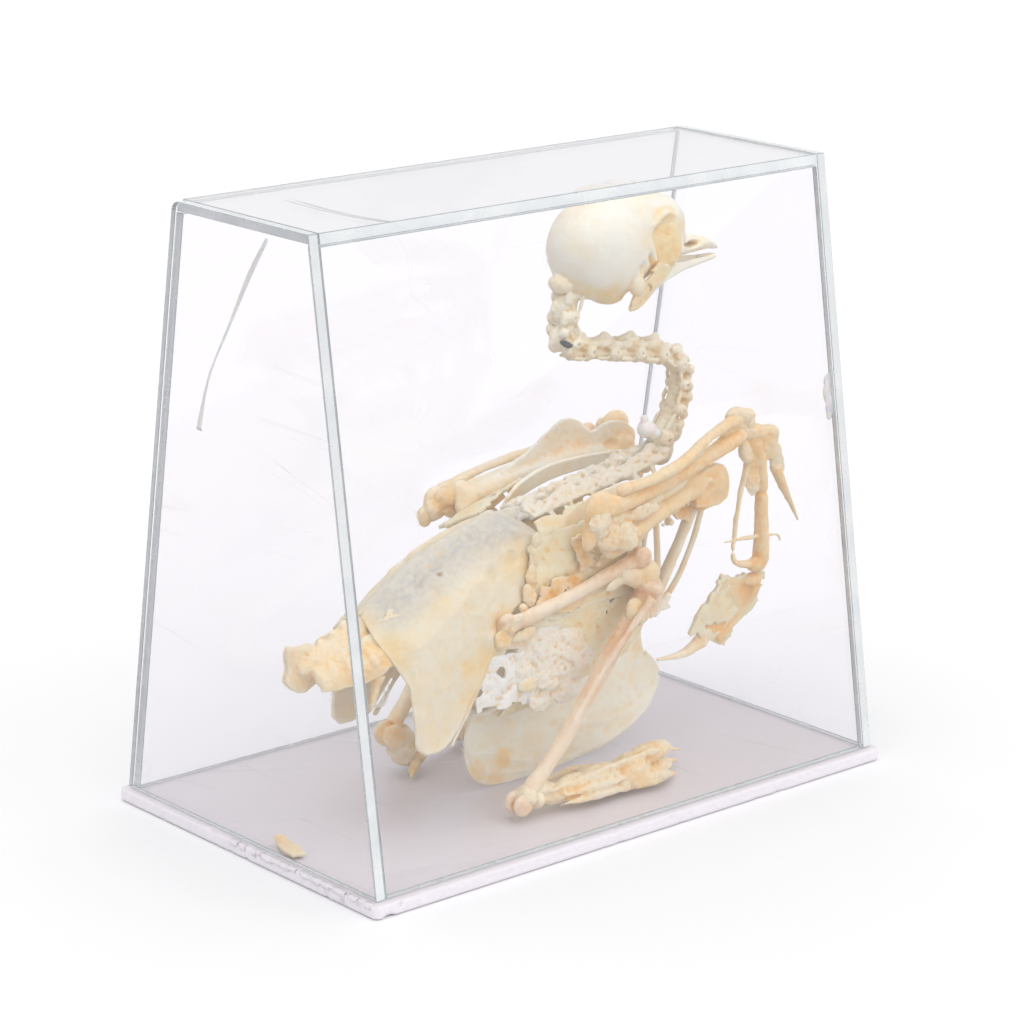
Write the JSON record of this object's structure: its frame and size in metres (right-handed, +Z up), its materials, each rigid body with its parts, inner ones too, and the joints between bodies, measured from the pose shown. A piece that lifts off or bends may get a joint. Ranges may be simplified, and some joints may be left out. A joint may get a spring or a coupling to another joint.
{
  "type": "pigeon skeleton in display case",
  "caption": "Pigeon skeleton sitting on its breastbone on a white base, one wing open and one folded, under a clear four-sided cover with leaning sides.",
  "frame": {"origin": "middle of the base's flat underside", "axes": "+Z up, +X the way the bill points, -Y the bird's right side, which the picture's camera sees first"},
  "size_m": [0.154, 0.094, 0.143],
  "materials": {
    "bone": "dry bone stained honey and cream",
    "pale_bone": "dry bone, ivory, a little translucent",
    "acrylic": "clear acrylic sheet with polished edges",
    "white_board": "off-white, chipped at the edges",
    "glue": "dried glue"
  },
  "bodies": {
    "root": {"alula_left": "bone", "alula_right": "bone", "base_plate": "white_board", "bone_chip": "bone", "carpometacarpus_left": "bone", "carpometacarpus_right": "bone", "case_end_head": "acrylic", "case_end_tail": "acrylic", "case_side_left": "acrylic", "case_side_right": "acrylic", "case_top": "acrylic", "coracoid_left": "bone", "coracoid_right": "bone", "femur_left": "bone", "femur_right": "bone", "furcula": "bone", "glue_bead": "glue", "humerus_left": "bone", "humerus_right": "bone", "mandible": "pale_bone", "neck_lower": "pale_bone", "neck_middle": "pale_bone", "neck_upper": "pale_bone", "pelvis": "pale_bone", "radius_left": "bone", "radius_right": "bone", "rib_cage_left": "pale_bone", "rib_cage_right": "pale_bone", "scapula_left": "bone", "scapula_right": "bone", "skull": "pale_bone", "sternum": "pale_bone", "tail_bones": "bone", "tarsometatarsus_left": "bone", "tarsometatarsus_right": "bone", "tibiotarsus_left": "bone", "tibiotarsus_right": "bone", "toe_hind_left": "bone", "toe_hind_right": "bone", "toe_inner_left": "bone", "toe_inner_right": "bone", "toe_middle_left": "bone", "toe_middle_right": "bone", "toe_outer_left": "bone", "toe_outer_right": "bone", "ulna_left": "bone", "ulna_right": "bone", "wing_digit_left": "bone", "wing_digit_right": "bone", "wing_tip_left": "bone", "wing_tip_right": "bone", "wrist_left": "bone", "wrist_right": "bone"}
  },
  "joints": []
}
